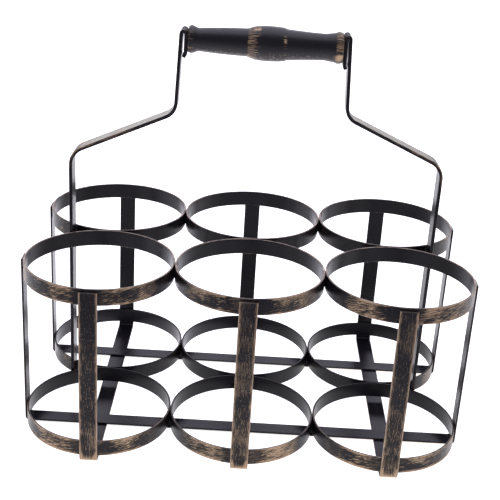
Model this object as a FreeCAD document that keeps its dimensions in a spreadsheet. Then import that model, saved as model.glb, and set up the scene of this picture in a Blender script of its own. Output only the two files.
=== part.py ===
"""Six-bottle carrier of painted flat iron with a turned wooden grip.

Millimetres, +Z up, origin on the ground under the middle of the rack. +X runs along the rows to the
right, +Y runs from the front row to the back row. The rack is two rows of three rolled rings at the top,
the same again at the bottom, tied together by U-shaped straps, with a bent leg at each end that carries
the grip.
"""
import FreeCAD, Part
import math
import os
import Sketcher

# Driving dimensions: each is written once, here, and goes into the sheet under its own name.
SIZES = {
    # Rings: rolled bands, outside diameter, upright height and strip thickness.
    "ring_diameter": 92.8,
    "band_height": 10.5,
    "band_thickness": 1.2,
    "rack_height": 117.5,
    "weld_gap": 0.2,
    # Straps under and around the rings.
    "strap_width": 11.0,
    "strap_thickness": 1.2,
    "strap_bend_radius": 3.0,
    "strap_top_drop": 1.9,
    "ring_seat_clearance": 0.1,
    # Handle legs: bent strip, with a folded eye at the grip.
    "leg_width": 13.0,
    "leg_thickness": 2.2,
    "left_bend_drop": 83.05,
    "right_bend_drop": 78.55,
    "lower_bend_radius": 12.0,
    "shoulder_slope": 24.4,
    "upper_bend_radius": 10.0,
    "upper_leg_lean": 2.5,
    "left_eye_gap": 0.8,
    "left_eye_rise": 4.0,
    "left_eye_drop": 7.4,
    "right_eye_gap": 0.3,
    "right_eye_rise": 6.5,
    "right_eye_drop": 9.3,
    "eye_tail_bend_radius": 1.6,
    "eye_tail_slope": 34.0,
    # Grip: turned wood on a steel rod, with unequal ends as the turner left them.
    "grip_height": 246.25,
    "grip_shift": 1.4,
    "grip_length": 94.3,
    "grip_end_clearance": 0.3,
    "left_collar_diameter": 17.0,
    "left_collar_width": 3.6,
    "left_bead_height": 0.5,
    "left_neck_diameter": 14.0,
    "left_neck_inset": 2.3,
    "left_root_diameter": 17.0,
    "left_shoulder_length": 5.0,
    "left_neck_sweep_radius": 370.0,
    "barrel_diameter": 21.4,
    "barrel_length": 24.6,
    "barrel_offset": 0.8,
    "barrel_crown": 0.5,
    "right_shoulder_length": 2.2,
    "right_root_diameter": 18.9,
    "right_neck_sweep_radius": 365.0,
    "right_neck_diameter": 16.2,
    "right_neck_inset": 6.2,
    "right_collar_width": 4.8,
    "right_collar_diameter": 19.4,
    "right_bead_height": 0.7,
    "rod_diameter": 5.0,
    "rod_running_clearance": 0.05,
    # Welds: flat ones where strips touch, and round beads beside the legs.
    "weld_width": 3.0,
    "weld_inset": 0.6,
    "leg_weld_radius": 1.2,
}

# Places and sizes worked out from the driving dimensions.
PLACES = {
    "ring_radius": "sizes.ring_diameter / 2",
    "ring_bore_radius": "ring_radius - sizes.band_thickness",
    "ring_pitch": "sizes.ring_diameter + sizes.weld_gap",
    "row_offset": "ring_pitch / 2",
    "bottom_ring_height": "sizes.strap_thickness + sizes.strap_bend_radius + sizes.ring_seat_clearance",
    "top_ring_height": "sizes.rack_height - sizes.band_height",
    "strap_top_height": "sizes.rack_height - sizes.strap_top_drop",
    # Column straps lie on the ground, row straps lie on the column straps.
    "column_strap_face": "row_offset + ring_radius + sizes.weld_gap",
    "column_strap_reach": "column_strap_face + sizes.strap_thickness / 2",
    "column_floor_height": "sizes.strap_thickness / 2",
    "column_bend_radius": "sizes.strap_bend_radius + sizes.strap_thickness / 2",
    "row_strap_face": "ring_pitch + ring_radius + sizes.weld_gap",
    "row_strap_reach": "row_strap_face + sizes.strap_thickness / 2",
    "row_floor_height": "sizes.strap_thickness * 3 / 2",
    "row_bend_radius": "sizes.strap_bend_radius - sizes.strap_thickness / 2",
    # A leg stands in the notch between the two end rings, where the notch is as wide as the leg.
    "notch_half_chord": "row_offset - sizes.leg_width / 2",
    "leg_face": "ring_pitch + sqrt(ring_radius ^ 2 - notch_half_chord ^ 2) + sizes.weld_gap",
    "leg_reach": "leg_face + sizes.leg_thickness / 2",
    "eye_face": "sizes.grip_length / 2 + sizes.grip_end_clearance",
    "eye_back": "eye_face + sizes.leg_thickness",
    # The straight part of each leg ends at its own distance below the grip, as the bender left it.
    "left_straight_height": "sizes.grip_height - sizes.left_bend_drop",
    "right_straight_height": "sizes.grip_height - sizes.right_bend_drop",
    # The bail's top sits a little to the right, so the eyes are not quite as far from the middle.
    "right_eye_face": "eye_face + sizes.grip_shift",
    "left_eye_face": "eye_face - sizes.grip_shift",
    "right_eye_reach": "right_eye_face + sizes.leg_thickness / 2",
    "left_eye_reach": "left_eye_face + sizes.leg_thickness / 2",
    # Each eye has its own gap and height; its tail folds out to end just short of the leg.
    "left_eye_bend_radius": "sizes.left_eye_gap / 2 + sizes.leg_thickness / 2",
    "right_eye_bend_radius": "sizes.right_eye_gap / 2 + sizes.leg_thickness / 2",
    "left_eye_centre_height": "sizes.grip_height + sizes.left_eye_rise",
    "right_eye_centre_height": "sizes.grip_height + sizes.right_eye_rise",
    "left_tail_height": "sizes.grip_height - sizes.left_eye_drop",
    "right_tail_height": "sizes.grip_height - sizes.right_eye_drop",
    "eye_tail_radius": "sizes.eye_tail_bend_radius + sizes.leg_thickness / 2",
    "left_eye_spread": "(sizes.left_eye_rise + sizes.left_eye_drop) * tan(sizes.upper_leg_lean * 1 deg)",
    "right_eye_spread": "(sizes.right_eye_rise + sizes.right_eye_drop) * tan(sizes.upper_leg_lean * 1 deg)",
    "eye_tail_back": "sizes.leg_thickness / 2 * (1 + cos(sizes.eye_tail_slope * 1 deg)) + sizes.weld_gap",
    "left_tail_reach": "left_eye_reach + 2 * left_eye_bend_radius + left_eye_spread - eye_tail_back",
    "right_tail_reach": "right_eye_reach + 2 * right_eye_bend_radius + right_eye_spread - eye_tail_back",
    "upper_leg_angle": "sizes.upper_leg_lean - 90",
    "shoulder_angle": "-sizes.shoulder_slope",
    "eye_tail_angle": "sizes.eye_tail_slope - 90",
    # Grip outline, from its middle.
    "grip_half": "sizes.grip_length / 2",
    "grip_bore_radius": "sizes.rod_diameter / 2 + sizes.rod_running_clearance",
    "left_collar_foot": "sizes.left_collar_diameter / 2 - sizes.left_bead_height",
    "left_collar_end": "sizes.left_collar_width - grip_half",
    "left_neck_place": "left_collar_end + sizes.left_neck_inset",
    "left_root_place": "sizes.barrel_offset - sizes.barrel_length / 2",
    "left_crown_place": "left_root_place + sizes.left_shoulder_length",
    "crown_foot": "sizes.barrel_diameter / 2 - sizes.barrel_crown",
    "right_root_place": "sizes.barrel_offset + sizes.barrel_length / 2",
    "right_crown_place": "right_root_place - sizes.right_shoulder_length",
    "right_collar_start": "grip_half - sizes.right_collar_width",
    "right_neck_place": "right_collar_start - sizes.right_neck_inset",
    "right_collar_foot": "sizes.right_collar_diameter / 2 - sizes.right_bead_height",
    "left_bead_radius": "(sizes.left_collar_width ^ 2 / 4 + sizes.left_bead_height ^ 2)"
                        " / (2 * sizes.left_bead_height)",
    "right_bead_radius": "(sizes.right_collar_width ^ 2 / 4 + sizes.right_bead_height ^ 2)"
                         " / (2 * sizes.right_bead_height)",
    "crown_chord": "right_crown_place - left_crown_place",
    "crown_radius": "(crown_chord ^ 2 / 4 + sizes.barrel_crown ^ 2) / (2 * sizes.barrel_crown)",
    # Welds stay inside the edges of the strips that they join.
    "ring_weld_height": "sizes.band_height - 2 * sizes.weld_inset",
    "strap_weld_height": "ring_weld_height - sizes.strap_top_drop",
    "column_weld_place": "column_strap_face - sizes.weld_gap / 2",
    "row_weld_place": "row_strap_face - sizes.weld_gap / 2",
}

COLUMNS = {"left": -1, "middle": 0, "right": 1}
ENDS = {"left": -1, "right": 1}
ROWS = {"front": -1, "back": 1}
LEVELS = {"top": "places.top_ring_height", "bottom": "places.bottom_ring_height"}
# A sketch numbers the points of a shape from 1, and counts its own origin and axes down from -1.
START, END, CENTRE = range(1, 4)
ORIGIN, UPRIGHT_AXIS = range(-1, -3, -1)
UP = FreeCAD.Vector(0, 0, 1)
BACKWARD = FreeCAD.Vector(0, 1, 0)

doc = FreeCAD.newDocument("bottle_caddy")


def make_sheet():
    """Writes the driving dimensions to the sheet, one aliased row each."""
    sheet = doc.addObject("Spreadsheet::Sheet", "sizes")
    for row, (name, value) in enumerate(SIZES.items(), start=1):
        sheet.set(f"A{row}", name)
        sheet.set(f"B{row}", str(value))
        sheet.setAlias(f"B{row}", name)
    doc.recompute()


def make_places():
    """Binds every worked-out place to the sheet, in the order that they build on each other."""
    places = doc.addObject("App::VarSet", "places")
    for name, formula in PLACES.items():
        places.addProperty("App::PropertyFloat", name)
        places.setExpression(name, formula)
    doc.recompute()
    return places


def bind(thing, **formulas):
    """Binds properties; a double underscore in a keyword stands for the dot in a property path."""
    for path, formula in formulas.items():
        thing.setExpression(path.replace("__", "."), formula)


def put(thing, x="0", y="0", z="0"):
    """Binds a placement's three coordinates."""
    bind(thing, Placement__Base__x=x, Placement__Base__y=y, Placement__Base__z=z)


def times(factor, formula):
    return f"{factor} * {formula}"


def new_body(label):
    body = doc.addObject("PartDesign::Body", label)
    body.Label = label
    return body


def new_sketch(body, name, role):
    """A sketch on one of the body's own origin planes."""
    sketch = body.newObject("Sketcher::SketchObject", name)
    plane = [feature for feature in body.Origin.OriginFeatures if feature.Role == role][0]
    sketch.AttachmentSupport = [(plane, "")]
    sketch.MapMode = "FlatFace"
    return sketch


def rule(sketch, name, formula, *constraint):
    """Adds one named dimension to a sketch and binds it."""
    index = sketch.addConstraint(Sketcher.Constraint(*constraint))
    sketch.renameConstraint(index, name)
    sketch.setExpression(f"Constraints.{name}", formula)


def at(x, z):
    return FreeCAD.Vector(x, z, 0)


def line(sketch, first, last):
    return sketch.addGeometry(Part.LineSegment(first, last))


def arc(sketch, first, middle, last):
    return sketch.addGeometry(Part.Arc(first, middle, last))


def end_at(sketch, shape, point):
    """Which end of a line or arc lies at a point."""
    gap = (sketch.getPoint(shape, START) - point).Length
    return START if gap < (sketch.getPoint(shape, END) - point).Length else END


def meet(sketch, first, second, point, kind):
    """Joins two neighbours of an outline where they meet."""
    sketch.addConstraint(Sketcher.Constraint(
        kind, first, end_at(sketch, first, point), second, end_at(sketch, second, point)))


def ring(label, column, row, height):
    """A rolled band, standing on edge."""
    body = new_body(label)
    sketch = new_sketch(body, f"{label}_section", "XY_Plane")
    for name, radius in (("outside", "ring_radius"), ("inside", "ring_bore_radius")):
        circle = sketch.addGeometry(Part.Circle(at(0, 0), UP, getattr(places, radius)))
        sketch.addConstraint(Sketcher.Constraint("Coincident", circle, CENTRE, ORIGIN, START))
        rule(sketch, name, f"places.{radius}", "Radius", circle, getattr(places, radius))
    band = body.newObject("PartDesign::Pad", f"{label}_band")
    band.Profile = sketch
    bind(band, Length="sizes.band_height")
    put(body, times(column, "places.ring_pitch"), times(row, "places.row_offset"), height)
    return body


def strip_along(body, path, start_x, start_height, width, thickness):
    """Sweeps a flat strip's section along its path; the section lies where the path starts, pointing up."""
    section = new_sketch(body, f"{body.Label}_section", "XY_Plane")
    section.setExpression("AttachmentOffset.Base.z", start_height)
    section.setExpression("AttachmentOffset.Base.x", start_x)
    half_x, half_y = SIZES[thickness] / 2, SIZES[width] / 2
    corners = [at(-half_x, -half_y), at(half_x, -half_y), at(half_x, half_y), at(-half_x, half_y)]
    sides = [line(section, corners[i - 1], corners[i]) for i in range(len(corners))]
    for i, side in enumerate(sides):
        meet(section, sides[i - 1], side, corners[i - 1], "Coincident")
        section.addConstraint(Sketcher.Constraint("Vertical" if i % 2 == 0 else "Horizontal", side))
    rule(section, "thickness", f"sizes.{thickness}", "DistanceX", sides[1], START, sides[1], END, 2 * half_x)
    rule(section, "width", f"sizes.{width}", "DistanceY", sides[2], START, sides[2], END, 2 * half_y)
    section.addConstraint(Sketcher.Constraint("Symmetric", sides[1], START, sides[2], END, ORIGIN, START))
    strip = body.newObject("PartDesign::AdditivePipe", f"{body.Label}_strip")
    strip.Profile = section
    strip.Spine = path
    strip.Mode = "Binormal"
    strip.Binormal = BACKWARD
    return strip


def strap(label, reach, floor, radius):
    """A U-shaped strap: two uprights and the bar between them, along X until it is placed."""
    body = new_body(label)
    path = new_sketch(body, f"{label}_path", "XZ_Plane")
    x, z, r = (getattr(places, name) for name in (reach, floor, radius))
    top = places.strap_top_height
    slack = r * (1 - math.sqrt(1 / 2))
    ends = {side: (at(side * x, z + r), at(side * (x - r), z)) for side in ENDS.values()}
    bar = line(path, ends[-1][1], ends[1][1])
    path.addConstraint(Sketcher.Constraint("Horizontal", bar))
    rule(path, "floor", f"places.{floor}", "DistanceY", ORIGIN, START, bar, START, z)
    for name, side in ENDS.items():
        upper, lower = ends[side]
        bend = arc(path, upper, at(side * (x - slack), z + slack), lower)
        upright = line(path, upper, at(side * x, top))
        path.addConstraint(Sketcher.Constraint("Vertical", upright))
        meet(path, bar, bend, lower, "Tangent")
        meet(path, bend, upright, upper, "Tangent")
        rule(path, f"{name}_bend", f"places.{radius}", "Radius", bend, r)
        rule(path, f"{name}_top", "places.strap_top_height", "DistanceY", ORIGIN, START, upright, END, top)
        rule(path, f"{name}_reach", times(side, f"places.{reach}"),
             "DistanceX", ORIGIN, START, upright, END, side * x)
    strip_along(body, path, f"-places.{reach}", "places.strap_top_height", "strap_width", "strap_thickness")
    return body


def along(point, angle, distance):
    """A point at a distance from another, at an angle in degrees from +X."""
    turn = math.radians(angle)
    return point + at(distance * math.cos(turn), distance * math.sin(turn))


def crossing(first, first_angle, second, second_angle):
    """Where two lines cross, each given by a point and an angle."""
    a, b = math.radians(first_angle), math.radians(second_angle)
    gap = second - first
    distance = (gap.x * math.sin(b) - gap.y * math.cos(b)) / math.sin(b - a)
    return along(first, first_angle, distance)


def bend_between(sketch, corner, angle_in, angle_out, radius):
    """The arc that rounds a corner of a path; returns it with its two ends."""
    turn = abs(angle_out - angle_in)
    reach = radius * math.tan(math.radians(turn / 2))
    depth = radius / math.cos(math.radians(turn / 2)) - radius
    first, last = along(corner, angle_in, -reach), along(corner, angle_out, reach)
    inward = (first + last) / 2 - corner
    return arc(sketch, first, corner + inward * (depth / inward.Length), last), first, last


def handle_leg(end, turned):
    """A bent strip: up the notch, in along the shoulder, up beside the grip and back down in an eye."""
    label = f"handle_leg_{end}"
    straight, eye_reach, tail_reach, eye_bend, eye_height, tail_height = (
        f"{end}_{place}" for place in ("straight_height", "eye_reach", "tail_reach",
                                       "eye_bend_radius", "eye_centre_height", "tail_height"))
    eye_x, tail_x, eye_radius = (getattr(places, name) for name in (eye_reach, tail_reach, eye_bend))
    body = new_body(label)
    path = new_sketch(body, f"{label}_path", "XZ_Plane")
    foot = at(places.leg_reach, places.bottom_ring_height)
    straight_top = at(places.leg_reach, getattr(places, straight))
    lower_radius, upper_radius = SIZES["lower_bend_radius"], SIZES["upper_bend_radius"]
    lean, slope, tail_angle = places.upper_leg_angle, places.shoulder_angle, places.eye_tail_angle
    lower_corner = straight_top + at(0, lower_radius * math.tan(math.radians((slope + 90) / 2)))
    eye_centre = at(eye_x + eye_radius, getattr(places, eye_height))
    eye_outer = along(eye_centre, lean + 90, eye_radius)
    eye_inner = along(eye_centre, 180, eye_radius)
    eye_crest = along(eye_centre, (lean + 90 + 180) / 2, eye_radius)
    upper_corner = crossing(eye_outer, lean, lower_corner, slope)
    tail_radius = places.eye_tail_radius
    tail_fall = tail_radius * math.tan(math.radians((tail_angle + 90) / 2))
    tail_corner = at(eye_x, getattr(places, tail_height) - tail_fall)
    tail_run = (tail_x - eye_x) / math.cos(math.radians(tail_angle))
    tail_tip = along(tail_corner, tail_angle, tail_run)

    lower_bend, shoulder_end, leg_top = bend_between(path, lower_corner, slope, -90, lower_radius)
    upper_bend, upper_end, shoulder_start = bend_between(path, upper_corner, lean, slope, upper_radius)
    tail_bend, limb_end, tail_start = bend_between(path, tail_corner, -90, tail_angle, tail_radius)
    leg = line(path, foot, leg_top)
    shoulder = line(path, shoulder_start, shoulder_end)
    upper = line(path, eye_outer, upper_end)
    eye = arc(path, eye_inner, eye_crest, eye_outer)
    limb = line(path, eye_inner, limb_end)
    tail = line(path, tail_start, tail_tip)

    chain = [(leg, leg_top), (lower_bend, shoulder_end), (shoulder, shoulder_start),
             (upper_bend, upper_end), (upper, eye_outer), (eye, eye_inner),
             (limb, limb_end), (tail_bend, tail_start), (tail, tail_tip)]
    for (first, joint), (second, _) in zip(chain, chain[1:]):
        meet(path, first, second, joint, "Tangent")
    for upright in (leg, limb):
        path.addConstraint(Sketcher.Constraint("Vertical", upright))
    for name, bend, formula in (("lower_bend", lower_bend, "sizes.lower_bend_radius"),
                                ("upper_bend", upper_bend, "sizes.upper_bend_radius"),
                                ("eye_bend", eye, f"places.{eye_bend}"),
                                ("tail_bend", tail_bend, "places.eye_tail_radius")):
        rule(path, name, formula, "Radius", bend, path.Geometry[bend].Radius)
    for name, run, formula, angle in (("slope", shoulder, "places.shoulder_angle", slope),
                                      ("lean", upper, "places.upper_leg_angle", lean),
                                      ("tail_slope", tail, "places.eye_tail_angle", tail_angle)):
        rule(path, name, formula, "Angle", run, math.radians(angle))
    for name, shape, point, formula, value in (
            ("foot_height", leg, START, "places.bottom_ring_height", foot.y),
            ("straight_height", leg, END, f"places.{straight}", leg_top.y),
            ("eye_height", eye, CENTRE, f"places.{eye_height}", eye_centre.y),
            ("tail_height", tail_bend, CENTRE, f"places.{tail_height}", limb_end.y)):
        rule(path, name, formula, "DistanceY", ORIGIN, START, shape, point, value)
    for name, shape, point, formula, value in (
            ("foot_reach", leg, START, "places.leg_reach", foot.x),
            ("limb_reach", limb, START, f"places.{eye_reach}", eye_inner.x),
            ("tail_reach", tail, END, f"places.{tail_reach}", tail_tip.x)):
        rule(path, name, formula, "DistanceX", ORIGIN, START, shape, point, value)

    strip_along(body, path, "places.leg_reach", "places.bottom_ring_height", "leg_width", "leg_thickness")
    rod_hole(body, f"places.{end}_eye_face")
    body.Placement.Rotation = FreeCAD.Rotation(UP, turned)
    return body


def rod_hole(body, face):
    """The hole for the rod, through the inner limb of the eye only."""
    sketch = new_sketch(body, f"{body.Label}_hole", "YZ_Plane")
    sketch.setExpression("AttachmentOffset.Base.z", face)
    radius, height = SIZES["rod_diameter"] / 2, SIZES["grip_height"]
    hole = sketch.addGeometry(Part.Circle(at(0, height), UP, radius))
    sketch.addConstraint(Sketcher.Constraint("PointOnObject", hole, CENTRE, UPRIGHT_AXIS))
    rule(sketch, "height", "sizes.grip_height", "DistanceY", ORIGIN, START, hole, CENTRE, height)
    rule(sketch, "radius", "sizes.rod_diameter / 2", "Radius", hole, radius)
    doc.recompute()
    cut = body.newObject("PartDesign::Pocket", f"{body.Label}_rod_hole")
    cut.Profile = sketch
    cut.Reversed = True
    bind(cut, Length="sizes.leg_thickness")


def grip():
    """Turned wood: a bead at each end, slim necks and a crowned barrel, bored for the rod."""
    body = new_body("grip")
    sketch = new_sketch(body, "grip_outline", "XZ_Plane")
    # Each corner of the outline, by the names of its place along the grip and of its radius, and the
    # curve that leads to the next corner: the sweep's radius, and 1 where it bulges or -1 where it hollows.
    outline = [
        ("-places.grip_half", "places.grip_bore_radius", None),
        ("-places.grip_half", "places.left_collar_foot", ("places.left_bead_radius", 1)),
        ("places.left_collar_end", "places.left_collar_foot", None),
        ("places.left_neck_place", "sizes.left_neck_diameter / 2", ("sizes.left_neck_sweep_radius", 1)),
        ("places.left_root_place", "sizes.left_root_diameter / 2", None),
        ("places.left_crown_place", "places.crown_foot", ("places.crown_radius", 1)),
        ("places.right_crown_place", "places.crown_foot", None),
        ("places.right_root_place", "sizes.right_root_diameter / 2", ("sizes.right_neck_sweep_radius", -1)),
        ("places.right_neck_place", "sizes.right_neck_diameter / 2", None),
        ("places.right_collar_start", "places.right_collar_foot", ("places.right_bead_radius", 1)),
        ("places.grip_half", "places.right_collar_foot", None),
        ("places.grip_half", "places.grip_bore_radius", None),
    ]
    corners = [at(number(place), number(radius)) for place, radius, _ in outline]
    sides = []
    for i, (_, _, curve) in enumerate(outline):
        first, last = corners[i], corners[(i + 1) % len(corners)]
        if curve is None:
            sides.append(line(sketch, first, last))
            continue
        formula, bulge = curve
        radius, half = number(formula), (last - first) / 2
        rise = radius - math.sqrt(radius ** 2 - half.Length ** 2)
        crest = first + half + at(-half.y, half.x) * (bulge * rise / half.Length)
        sides.append(arc(sketch, first, crest, last))
    for i, (place, radius, curve) in enumerate(outline):
        end = end_at(sketch, sides[i], corners[i])
        meet(sketch, sides[i - 1], sides[i], corners[i], "Coincident")
        rule(sketch, f"place_{i}", place, "DistanceX", ORIGIN, START, sides[i], end, corners[i].x)
        rule(sketch, f"radius_{i}", radius, "DistanceY", ORIGIN, START, sides[i], end, corners[i].y)
        if curve is not None:
            rule(sketch, f"sweep_{i}", curve[0], "Radius", sides[i], number(curve[0]))
    turned = body.newObject("PartDesign::Revolution", "grip_turning")
    turned.Profile = sketch
    turned.ReferenceAxis = (sketch, ["H_Axis"])
    put(body, x="sizes.grip_shift", z="sizes.grip_height")
    return body


def number(formula):
    """The value of a formula that is one named size or place, perhaps halved or negative."""
    halved = formula.endswith(" / 2")
    negative = formula.startswith("-")
    owner, name = formula.removesuffix(" / 2").removeprefix("-").split(".")
    value = SIZES[name] if owner == "sizes" else getattr(places, name)
    return value * (-1 if negative else 1) / (2 if halved else 1)


def cylinder(name, radius, height, **placed):
    """A cylinder whose sizes and place are bound, upright until it is turned."""
    solid = doc.addObject("Part::Cylinder", name)
    bind(solid, Radius=radius, Height=height)
    put(solid, **placed)
    return solid


def block(name, length, width, height, x, y, z):
    """A box whose x and y are its middle and whose z is its foot."""
    solid = doc.addObject("Part::Box", name)
    bind(solid, Length=length, Width=width, Height=height)
    put(solid, f"{x} - ({length}) / 2", f"{y} - ({width}) / 2", z)
    return solid


def grip_rod():
    """The rod through the grip, flush with the far side of each eye's inner limb."""
    rod = cylinder("grip_rod", "sizes.rod_diameter / 2", "2 * places.eye_back",
                   x="sizes.grip_shift - places.eye_back", z="sizes.grip_height")
    rod.Placement.Rotation = FreeCAD.Rotation(BACKWARD, 90)
    return rod


def group(name, members):
    compound = doc.addObject("Part::Compound", name)
    compound.Links = members
    return compound


def ring_welds(level, height):
    """One flat weld wherever two neighbouring rings of a level nearly touch."""
    foot = f"{height} + sizes.weld_inset"
    welds = []
    for row, row_side in ROWS.items():
        for end, side in ENDS.items():
            welds.append(block(f"{level}_{row}_joint_{end}", "sizes.weld_gap", "sizes.weld_width",
                               "places.ring_weld_height", times(side, "places.row_offset"),
                               times(row_side, "places.row_offset"), foot))
    for column, side in COLUMNS.items():
        welds.append(block(f"{level}_{column}_joint", "sizes.weld_width", "sizes.weld_gap",
                           "places.ring_weld_height", times(side, "places.ring_pitch"), "0", foot))
    return group(f"{level}_ring_welds", welds)


def strap_welds(kind):
    """The flat welds between the uprights of the column or row straps and the rings."""
    welds = []
    for level, height in LEVELS.items():
        foot = f"{height} + sizes.weld_inset"
        rise = "places.strap_weld_height" if level == "top" else "places.ring_weld_height"
        for end, side in ENDS.items():
            place = times(side, f"places.{kind}_weld_place")
            for name, step in (COLUMNS if kind == "column" else ROWS).items():
                label = f"{kind}_{level}_{name}_{end}"
                if kind == "column":
                    welds.append(block(label, "sizes.weld_width", "sizes.weld_gap", rise,
                                       times(step, "places.ring_pitch"), place, foot))
                else:
                    welds.append(block(label, "sizes.weld_gap", "sizes.weld_width", rise,
                                       place, times(step, "places.row_offset"), foot))
    return group(f"{kind}_strap_welds", welds)


def leg_welds():
    """A round bead in each corner between a leg and the rings beside it, less the leg and the rings."""
    beads, filled = [], []
    for end, side in ENDS.items():
        filled.append(block(f"{end}_leg_fill", "sizes.leg_thickness", "sizes.leg_width",
                            "sizes.rack_height", times(side, "places.leg_reach"), "0", "0"))
        for row, row_side in ROWS.items():
            filled.append(cylinder(f"{row}_{end}_fill", "places.ring_radius", "sizes.rack_height",
                                   x=times(side, "places.ring_pitch"),
                                   y=times(row_side, "places.row_offset")))
            for level, height in LEVELS.items():
                beads.append(cylinder(f"{end}_{level}_{row}_bead", "sizes.leg_weld_radius",
                                      "places.ring_weld_height", x=times(side, "places.leg_face"),
                                      y=times(row_side, "sizes.leg_width / 2"),
                                      z=f"{height} + sizes.weld_inset"))
    welds = doc.addObject("Part::Cut", "leg_welds")
    welds.Base = group("leg_beads", beads)
    welds.Tool = group("leg_fill", filled)
    return welds


make_sheet()
places = make_places()

parts = []
for level_name, level_height in LEVELS.items():
    for row_name, row_place in ROWS.items():
        for column_name, column_place in COLUMNS.items():
            parts.append(ring(f"{level_name}_ring_{row_name}_{column_name}",
                              column_place, row_place, level_height))

for column_name, column_place in COLUMNS.items():
    column_strap = strap(f"column_strap_{column_name}", "column_strap_reach", "column_floor_height",
                         "column_bend_radius")
    column_strap.Placement.Rotation = FreeCAD.Rotation(UP, 90)
    put(column_strap, x=times(column_place, "places.ring_pitch"))
    parts.append(column_strap)
for row_name, row_place in ROWS.items():
    row_strap = strap(f"row_strap_{row_name}", "row_strap_reach", "row_floor_height", "row_bend_radius")
    put(row_strap, y=times(row_place, "places.row_offset"))
    parts.append(row_strap)

parts.append(handle_leg("right", 0))
parts.append(handle_leg("left", 180))
parts.append(grip())
parts.append(grip_rod())

for level_name, level_height in LEVELS.items():
    parts.append(ring_welds(level_name, level_height))
for strap_kind in ("column", "row"):
    parts.append(strap_welds(strap_kind))
parts.append(leg_welds())

doc.recompute()
for thing in doc.Objects:
    if "Invalid" in thing.State or "Error" in thing.State:
        raise RuntimeError(f"{thing.Label} failed: {thing.State}")
for part in parts:
    if part.Shape.isNull() or not part.Shape.isValid():
        raise RuntimeError(f"{part.Label} has no valid shape")

os.makedirs("parts", exist_ok=True)
for part in parts:
    part.Shape.exportStep(f"parts/{part.Label}.step")
    print(part.Label, "solids", len(part.Shape.Solids), "volume", round(part.Shape.Volume, 2))
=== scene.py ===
# %% [markdown]
# # A bottle caddy of painted strip iron
# The real object is a carrier for six bottles. A smith cuts flat iron strip, rolls it into rings, bends it
# into straps and a bail, and welds the lot together. It is painted black, then brushed with gold and rubbed
# back so that the edges look old. The grip is turned wood on a rod.
# The measured solids come first. They give the places and outer sizes, and the pieces below are drawn over
# them.

# %% Load the measured solids
import math

import bmesh
import bpy
from mathutils import Matrix, Vector


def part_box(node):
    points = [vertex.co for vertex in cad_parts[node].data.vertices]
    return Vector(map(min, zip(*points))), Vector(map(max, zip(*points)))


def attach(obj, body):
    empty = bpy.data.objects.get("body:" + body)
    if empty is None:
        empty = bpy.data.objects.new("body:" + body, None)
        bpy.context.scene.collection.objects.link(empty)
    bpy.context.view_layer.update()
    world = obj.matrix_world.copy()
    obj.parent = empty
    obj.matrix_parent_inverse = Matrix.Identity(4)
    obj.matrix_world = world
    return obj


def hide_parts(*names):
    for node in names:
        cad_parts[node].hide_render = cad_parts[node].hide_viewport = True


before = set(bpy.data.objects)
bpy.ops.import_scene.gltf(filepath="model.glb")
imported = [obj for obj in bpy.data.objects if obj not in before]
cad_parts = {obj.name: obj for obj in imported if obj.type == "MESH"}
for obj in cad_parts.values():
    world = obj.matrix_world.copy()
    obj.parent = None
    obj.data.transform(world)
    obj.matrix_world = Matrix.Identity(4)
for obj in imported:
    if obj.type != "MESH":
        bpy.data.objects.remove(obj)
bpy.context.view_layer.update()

MM = 0.001


# %% [markdown]
# ## Camera
# The photograph looks down on the caddy from the front, and it was held a little askew. A camera can be set
# by eye, or worked out from edges that are known in the model. The second way is used here: these angles,
# the place and the focal length put the rings and straps of the model over those in the photograph.

# %% Set the camera
# The photograph's width and the focal length are in pixels, and the sensor's width is in mm.
PHOTO_WIDTH = 500
FOCAL_LENGTH = 1033.2
SENSOR_WIDTH = 36
CAMERA_PLACE = Vector((-5.33, -631.05, 372.94)) * MM
CAMERA_TURN, CAMERA_TILT, CAMERA_ROLL = (math.radians(angle) for angle in (-0.437, 22.681, 3.542))

camera_data = bpy.data.cameras.new("photo_camera")
camera_data.sensor_width = SENSOR_WIDTH
camera_data.lens = SENSOR_WIDTH * FOCAL_LENGTH / PHOTO_WIDTH
camera = bpy.data.objects.new("photo_camera", camera_data)
bpy.context.collection.objects.link(camera)
looking = Matrix.Rotation(CAMERA_TURN, 4, "Z") @ Matrix.Rotation(math.pi / 2 - CAMERA_TILT, 4, "X")
camera.matrix_world = Matrix.Translation(CAMERA_PLACE) @ looking @ Matrix.Rotation(CAMERA_ROLL, 4, "Z")
bpy.context.scene.camera = camera
print(f"lens {camera_data.lens:.1f} mm, {CAMERA_PLACE.length:.2f} m from the middle of the floor")

# %% [markdown]
# ## Cutting strip
# Every iron piece starts as flat strip. Strip comes from the rolling mill with slightly rounded edges, and
# those edges are where paint wears off first. A curve with a bevel profile would make strip quickly, but it
# twists in tight bends. Here the strip's end is drawn once, as a plane with rounded corners, and it is then
# pushed along the piece with extrude and spin, as a forming roll does.
# Six values are stored on the points of that end, and they travel along with it. Four say how much gold the
# outer face takes as strokes, as specks and along its edges, and where the rims are. Two are the distances
# along and around the strip. The paint reads them later.

# %% Store the values for the paint
EDGE_ROUND = 0.35 * MM
EDGE_BAND = 3 * MM
HAIR = 0.01 * MM
GOLD_VALUES = ("gilding", "speckle", "edge", "rim")
STRIP_VALUES = GOLD_VALUES + ("along", "around")


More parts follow.
